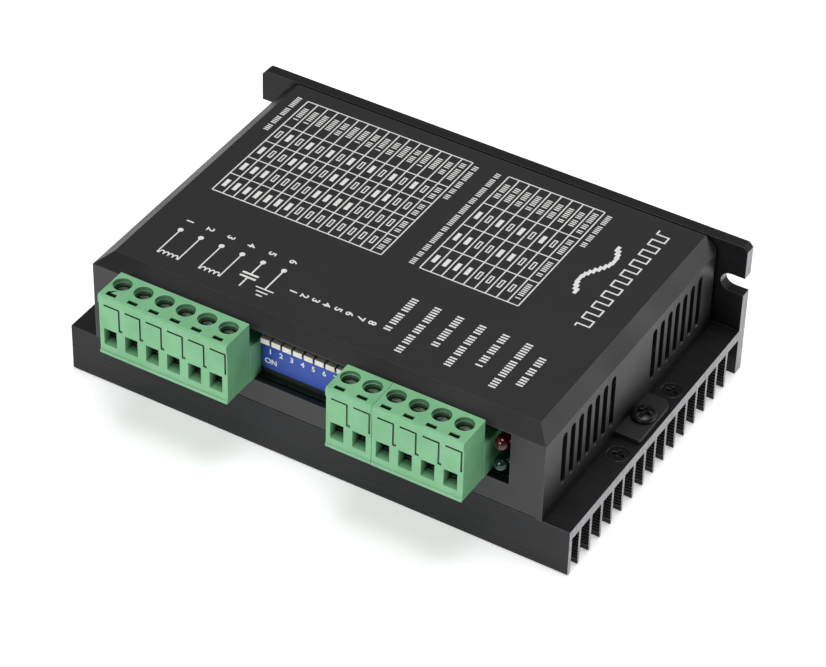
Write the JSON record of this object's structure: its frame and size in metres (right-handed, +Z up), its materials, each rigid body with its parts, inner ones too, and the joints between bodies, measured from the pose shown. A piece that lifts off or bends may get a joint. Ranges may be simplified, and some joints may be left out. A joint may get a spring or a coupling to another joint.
{
  "type": "stepper motor driver module",
  "caption": "Stepper motor driver: folded black steel cover on a finned aluminium base, with green plug-in terminals, a lever switch bank and indicator lights.",
  "frame": {"origin": "middle of the overall box on its underside, where the fin tips stand", "axes": "+X to the right along the terminal side, +Y back to the mounting wall, +Z up"},
  "size_m": [0.118, 0.0854, 0.0332],
  "materials": {
    "black_anodised_aluminium": "black anodised extrusion with bare cut ends",
    "black_painted_steel": "satin black powder coat on folded steel sheet",
    "board_laminate": "solder mask over glass laminate",
    "green_terminal_plastic": "moulded green polyamide",
    "blue_switch_plastic": "moulded blue plastic with white print",
    "black_switch_plastic": "moulded black plastic",
    "white_lever_plastic": "moulded white plastic",
    "red_lens": "clear tinted epoxy, unlit",
    "green_lens": "clear tinted epoxy, unlit",
    "plated_steel": "zinc plated steel",
    "black_steel_screw": "black oxide steel",
    "capacitor_sleeve": "shrink sleeve over an aluminium can",
    "silicone_pad": "soft filled silicone",
    "chip_epoxy": "moulded black epoxy",
    "nylon": "natural nylon"
  },
  "bodies": {
    "driver_body": {"heatsink": "black_anodised_aluminium", "cover": "black_painted_steel", "circuit_board": "board_laminate", "header_motor_power_6way": "green_terminal_plastic", "header_enable_2way": "green_terminal_plastic", "header_pulse_direction_4way": "green_terminal_plastic", "switch_housing": "blue_switch_plastic", "switch_base": "black_switch_plastic", "indicator_green": "green_lens", "indicator_red": "red_lens", "cover_screw_right": "black_steel_screw", "cover_screw_left": "black_steel_screw", "plate_screw_1": "black_steel_screw", "plate_screw_2": "black_steel_screw", "plate_screw_3": "black_steel_screw", "plate_screw_4": "black_steel_screw", "capacitor": "capacitor_sleeve", "thermal_pad": "silicone_pad", "bridge_chip_left": "chip_epoxy", "bridge_chip_right": "chip_epoxy", "controller_chip": "chip_epoxy", "board_support_left_front": "nylon", "board_support_right_front": "nylon", "board_support_left_back": "nylon", "board_support_right_back": "nylon"},
    "motor_power_plug": {"plug_motor_power_6way": "green_terminal_plastic"},
    "enable_plug": {"plug_enable_2way": "green_terminal_plastic"},
    "pulse_direction_plug": {"plug_pulse_direction_4way": "green_terminal_plastic"},
    "terminal_screw_01": {"terminal_screw_01": "plated_steel"},
    "wire_clamp_01": {"wire_clamp_01": "plated_steel"},
    "terminal_screw_02": {"terminal_screw_02": "plated_steel"},
    "wire_clamp_02": {"wire_clamp_02": "plated_steel"},
    "terminal_screw_03": {"terminal_screw_03": "plated_steel"},
    "wire_clamp_03": {"wire_clamp_03": "plated_steel"},
    "terminal_screw_04": {"terminal_screw_04": "plated_steel"},
    "wire_clamp_04": {"wire_clamp_04": "plated_steel"},
    "terminal_screw_05": {"terminal_screw_05": "plated_steel"},
    "wire_clamp_05": {"wire_clamp_05": "plated_steel"},
    "terminal_screw_06": {"terminal_screw_06": "plated_steel"},
    "wire_clamp_06": {"wire_clamp_06": "plated_steel"},
    "terminal_screw_07": {"terminal_screw_07": "plated_steel"},
    "wire_clamp_07": {"wire_clamp_07": "plated_steel"},
    "terminal_screw_08": {"terminal_screw_08": "plated_steel"},
    "wire_clamp_08": {"wire_clamp_08": "plated_steel"},
    "terminal_screw_09": {"terminal_screw_09": "plated_steel"},
    "wire_clamp_09": {"wire_clamp_09": "plated_steel"},
    "terminal_screw_10": {"terminal_screw_10": "plated_steel"},
    "wire_clamp_10": {"wire_clamp_10": "plated_steel"},
    "terminal_screw_11": {"terminal_screw_11": "plated_steel"},
    "wire_clamp_11": {"wire_clamp_11": "plated_steel"},
    "terminal_screw_12": {"terminal_screw_12": "plated_steel"},
    "wire_clamp_12": {"wire_clamp_12": "plated_steel"},
    "switch_lever_1": {"switch_lever_1": "white_lever_plastic"},
    "switch_lever_2": {"switch_lever_2": "white_lever_plastic"},
    "switch_lever_3": {"switch_lever_3": "white_lever_plastic"},
    "switch_lever_4": {"switch_lever_4": "white_lever_plastic"},
    "switch_lever_5": {"switch_lever_5": "white_lever_plastic"},
    "switch_lever_6": {"switch_lever_6": "white_lever_plastic"},
    "switch_lever_7": {"switch_lever_7": "white_lever_plastic"},
    "switch_lever_8": {"switch_lever_8": "white_lever_plastic"}
  },
  "joints": [
    {"name": "motor_power_plug_pull", "type": "slide", "parent": "driver_body", "child": "motor_power_plug", "axis": [0, -1, 0], "range_m": [0, 0.009]},
    {"name": "enable_plug_pull", "type": "slide", "parent": "driver_body", "child": "enable_plug", "axis": [0, -1, 0], "range_m": [0, 0.009]},
    {"name": "pulse_direction_plug_pull", "type": "slide", "parent": "driver_body", "child": "pulse_direction_plug", "axis": [0, -1, 0], "range_m": [0, 0.009]},
    {"name": "terminal_screw_01_turn", "type": "hinge", "parent": "motor_power_plug", "child": "terminal_screw_01", "pos_m": [-0.0419, -0.03753, 0.0293], "axis": [0, 0, -1], "range_deg": [0, 1152]},
    {"name": "wire_clamp_01_lift", "type": "slide", "parent": "motor_power_plug", "child": "wire_clamp_01", "axis": [0, 0, 1], "range_m": [0, 0.0016]},
    {"name": "terminal_screw_02_turn", "type": "hinge", "parent": "motor_power_plug", "child": "terminal_screw_02", "pos_m": [-0.03682, -0.03753, 0.0293], "axis": [0, 0, -1], "range_deg": [0, 1152]},
    {"name": "wire_clamp_02_lift", "type": "slide", "parent": "motor_power_plug", "child": "wire_clamp_02", "axis": [0, 0, 1], "range_m": [0, 0.0016]},
    {"name": "terminal_screw_03_turn", "type": "hinge", "parent": "motor_power_plug", "child": "terminal_screw_03", "pos_m": [-0.03174, -0.03753, 0.0293], "axis": [0, 0, -1], "range_deg": [0, 1152]},
    {"name": "wire_clamp_03_lift", "type": "slide", "parent": "motor_power_plug", "child": "wire_clamp_03", "axis": [0, 0, 1], "range_m": [0, 0.0016]},
    {"name": "terminal_screw_04_turn", "type": "hinge", "parent": "motor_power_plug", "child": "terminal_screw_04", "pos_m": [-0.02666, -0.03753, 0.0293], "axis": [0, 0, -1], "range_deg": [0, 1152]},
    {"name": "wire_clamp_04_lift", "type": "slide", "parent": "motor_power_plug", "child": "wire_clamp_04", "axis": [0, 0, 1], "range_m": [0, 0.0016]},
    {"name": "terminal_screw_05_turn", "type": "hinge", "parent": "motor_power_plug", "child": "terminal_screw_05", "pos_m": [-0.02158, -0.03753, 0.0293], "axis": [0, 0, -1], "range_deg": [0, 1152]},
    {"name": "wire_clamp_05_lift", "type": "slide", "parent": "motor_power_plug", "child": "wire_clamp_05", "axis": [0, 0, 1], "range_m": [0, 0.0016]},
    {"name": "terminal_screw_06_turn", "type": "hinge", "parent": "motor_power_plug", "child": "terminal_screw_06", "pos_m": [-0.0165, -0.03753, 0.0293], "axis": [0, 0, -1], "range_deg": [0, 1152]},
    {"name": "wire_clamp_06_lift", "type": "slide", "parent": "motor_power_plug", "child": "wire_clamp_06", "axis": [0, 0, 1], "range_m": [0, 0.0016]},
    {"name": "terminal_screw_07_turn", "type": "hinge", "parent": "enable_plug", "child": "terminal_screw_07", "pos_m": [0.0117, -0.03753, 0.0293], "axis": [0, 0, -1], "range_deg": [0, 1152]},
    {"name": "wire_clamp_07_lift", "type": "slide", "parent": "enable_plug", "child": "wire_clamp_07", "axis": [0, 0, 1], "range_m": [0, 0.0016]},
    {"name": "terminal_screw_08_turn", "type": "hinge", "parent": "enable_plug", "child": "terminal_screw_08", "pos_m": [0.01678, -0.03753, 0.0293], "axis": [0, 0, -1], "range_deg": [0, 1152]},
    {"name": "wire_clamp_08_lift", "type": "slide", "parent": "enable_plug", "child": "wire_clamp_08", "axis": [0, 0, 1], "range_m": [0, 0.0016]},
    {"name": "terminal_screw_09_turn", "type": "hinge", "parent": "pulse_direction_plug", "child": "terminal_screw_09", "pos_m": [0.02216, -0.03753, 0.0293], "axis": [0, 0, -1], "range_deg": [0, 1152]},
    {"name": "wire_clamp_09_lift", "type": "slide", "parent": "pulse_direction_plug", "child": "wire_clamp_09", "axis": [0, 0, 1], "range_m": [0, 0.0016]},
    {"name": "terminal_screw_10_turn", "type": "hinge", "parent": "pulse_direction_plug", "child": "terminal_screw_10", "pos_m": [0.02724, -0.03753, 0.0293], "axis": [0, 0, -1], "range_deg": [0, 1152]},
    {"name": "wire_clamp_10_lift", "type": "slide", "parent": "pulse_direction_plug", "child": "wire_clamp_10", "axis": [0, 0, 1], "range_m": [0, 0.0016]},
    {"name": "terminal_screw_11_turn", "type": "hinge", "parent": "pulse_direction_plug", "child": "terminal_screw_11", "pos_m": [0.03232, -0.03753, 0.0293], "axis": [0, 0, -1], "range_deg": [0, 1152]},
    {"name": "wire_clamp_11_lift", "type": "slide", "parent": "pulse_direction_plug", "child": "wire_clamp_11", "axis": [0, 0, 1], "range_m": [0, 0.0016]},
    {"name": "terminal_screw_12_turn", "type": "hinge", "parent": "pulse_direction_plug", "child": "terminal_screw_12", "pos_m": [0.0374, -0.03753, 0.0293], "axis": [0, 0, -1], "range_deg": [0, 1152]},
    {"name": "wire_clamp_12_lift", "type": "slide", "parent": "pulse_direction_plug", "child": "wire_clamp_12", "axis": [0, 0, 1], "range_m": [0, 0.0016]},
    {"name": "switch_lever_1_tilt", "type": "hinge", "parent": "driver_body", "child": "switch_lever_1", "pos_m": [-0.01154, -0.02778, 0.0278], "axis": [1, 0, 0], "range_deg": [0, 20]},
    {"name": "switch_lever_2_tilt", "type": "hinge", "parent": "driver_body", "child": "switch_lever_2", "pos_m": [-0.009, -0.02778, 0.0278], "axis": [1, 0, 0], "range_deg": [0, 20]},
    {"name": "switch_lever_3_tilt", "type": "hinge", "parent": "driver_body", "child": "switch_lever_3", "pos_m": [-0.00646, -0.02778, 0.0278], "axis": [1, 0, 0], "range_deg": [0, 20]},
    {"name": "switch_lever_4_tilt", "type": "hinge", "parent": "driver_body", "child": "switch_lever_4", "pos_m": [-0.00392, -0.02778, 0.0278], "axis": [1, 0, 0], "range_deg": [0, 20]},
    {"name": "switch_lever_5_tilt", "type": "hinge", "parent": "driver_body", "child": "switch_lever_5", "pos_m": [-0.00138, -0.02778, 0.0278], "axis": [1, 0, 0], "range_deg": [0, 20]},
    {"name": "switch_lever_6_tilt", "type": "hinge", "parent": "driver_body", "child": "switch_lever_6", "pos_m": [0.00116, -0.02778, 0.0278], "axis": [1, 0, 0], "range_deg": [0, 20]},
    {"name": "switch_lever_7_tilt", "type": "hinge", "parent": "driver_body", "child": "switch_lever_7", "pos_m": [0.0037, -0.02778, 0.0278], "axis": [1, 0, 0], "range_deg": [0, 20]},
    {"name": "switch_lever_8_tilt", "type": "hinge", "parent": "driver_body", "child": "switch_lever_8", "pos_m": [0.00624, -0.02778, 0.0278], "axis": [1, 0, 0], "range_deg": [0, 20]}
  ],
  "couplings": [
    {"joint": "terminal_screw_01_turn", "follows": "wire_clamp_01_lift", "rad_per_m": 12566},
    {"joint": "terminal_screw_02_turn", "follows": "wire_clamp_02_lift", "rad_per_m": 12566},
    {"joint": "terminal_screw_03_turn", "follows": "wire_clamp_03_lift", "rad_per_m": 12566},
    {"joint": "terminal_screw_04_turn", "follows": "wire_clamp_04_lift", "rad_per_m": 12566},
    {"joint": "terminal_screw_05_turn", "follows": "wire_clamp_05_lift", "rad_per_m": 12566},
    {"joint": "terminal_screw_06_turn", "follows": "wire_clamp_06_lift", "rad_per_m": 12566},
    {"joint": "terminal_screw_07_turn", "follows": "wire_clamp_07_lift", "rad_per_m": 12566},
    {"joint": "terminal_screw_08_turn", "follows": "wire_clamp_08_lift", "rad_per_m": 12566},
    {"joint": "terminal_screw_09_turn", "follows": "wire_clamp_09_lift", "rad_per_m": 12566},
    {"joint": "terminal_screw_10_turn", "follows": "wire_clamp_10_lift", "rad_per_m": 12566},
    {"joint": "terminal_screw_11_turn", "follows": "wire_clamp_11_lift", "rad_per_m": 12566},
    {"joint": "terminal_screw_12_turn", "follows": "wire_clamp_12_lift", "rad_per_m": 12566}
  ]
}
